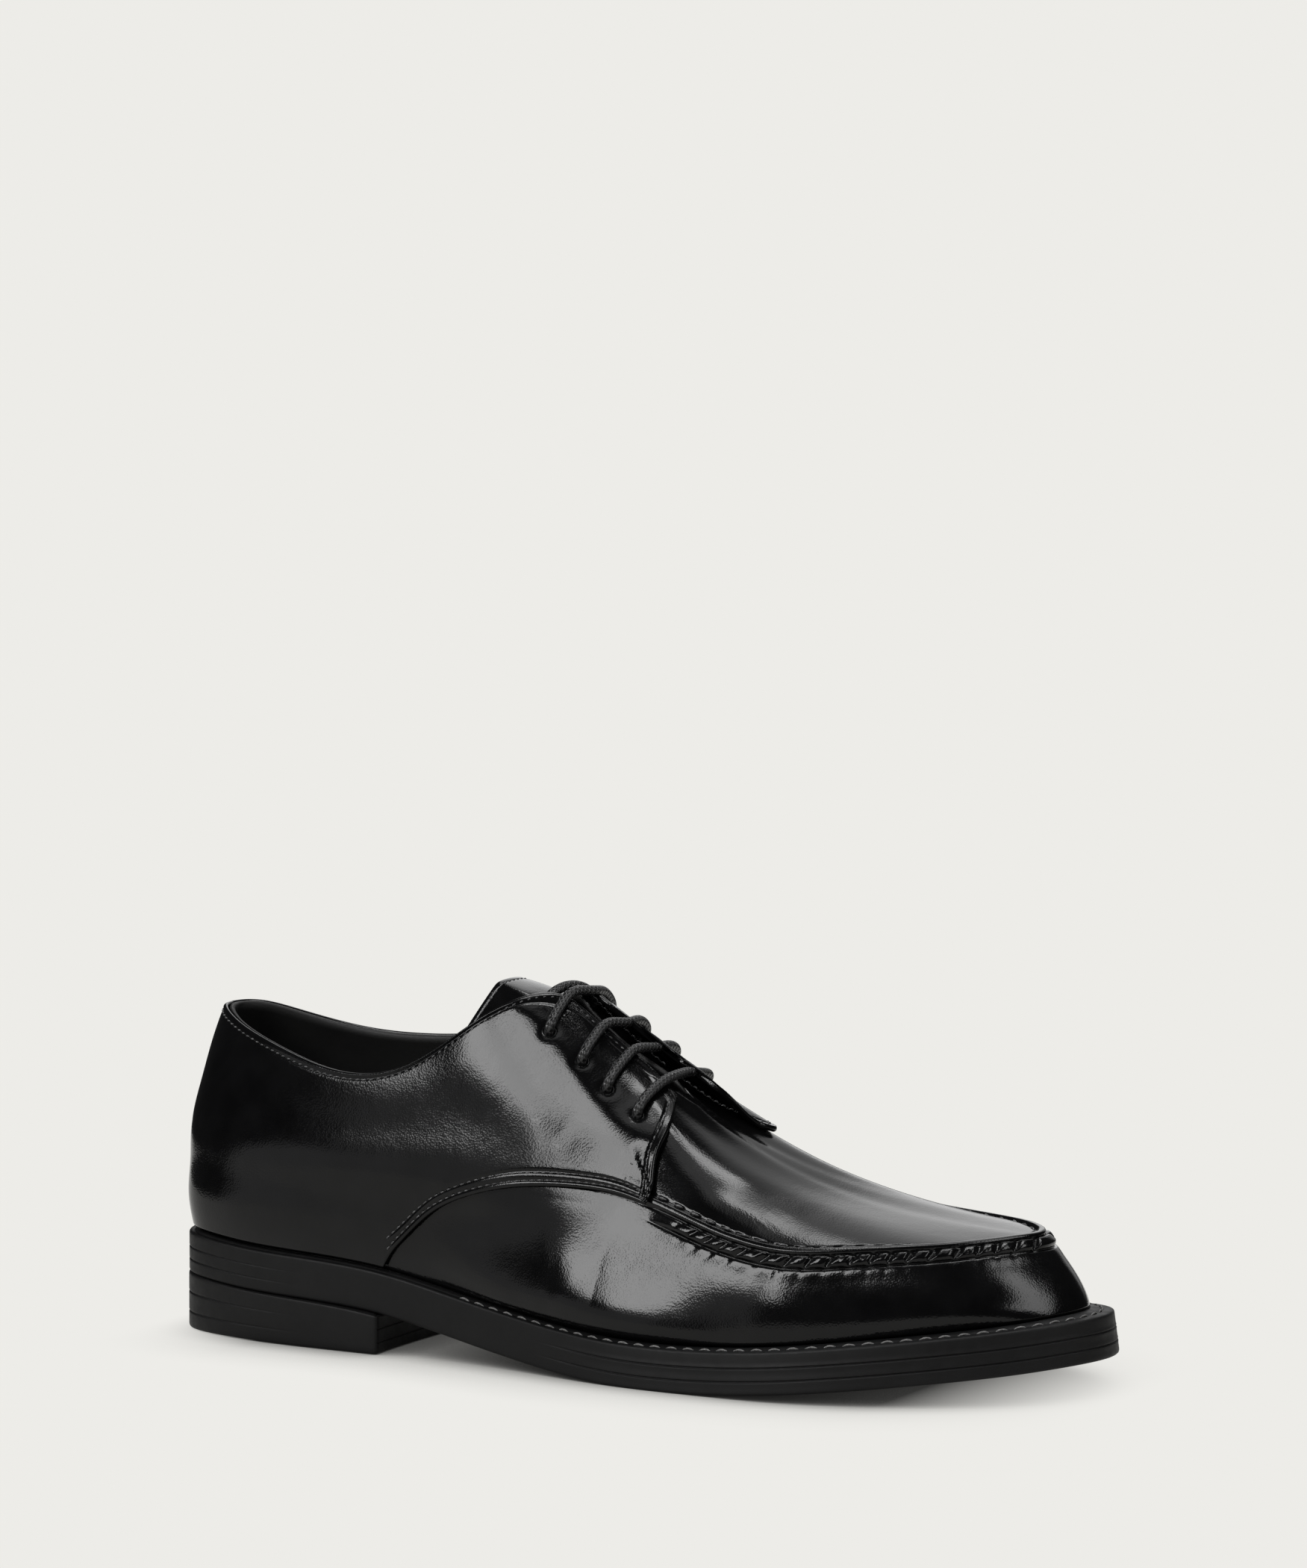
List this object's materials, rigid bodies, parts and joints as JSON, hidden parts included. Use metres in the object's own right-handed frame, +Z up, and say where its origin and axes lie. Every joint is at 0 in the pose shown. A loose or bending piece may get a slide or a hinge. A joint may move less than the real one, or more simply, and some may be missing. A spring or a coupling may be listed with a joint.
{
  "type": "lace-up shoe",
  "caption": "Right lace-up derby shoe with a raised apron seam at the toe, glossy leather upper, layered rubber sole and block heel.",
  "frame": {"origin": "middle of the shoe's box in plan, on the floor", "axes": "+X to the toe, +Y to the inner side of the foot, +Z up"},
  "size_m": [0.3081, 0.111, 0.1152],
  "materials": {
    "leather": "polished black",
    "rubber": "matte black",
    "lining": "matte black",
    "cord": "waxed"
  },
  "bodies": {
    "root": {"welt": "rubber", "midsole": "rubber", "outsole": "rubber", "heel_lift_upper": "rubber", "heel_lift_lower": "rubber", "heel_top_piece": "rubber", "insole": "lining", "upper": "leather", "quarter_lateral": "leather", "quarter_medial": "leather", "tongue": "leather", "lace_bar_1": "cord", "lace_bar_2": "cord", "lace_bar_3": "cord", "lace_bar_4": "cord"}
  },
  "joints": []
}
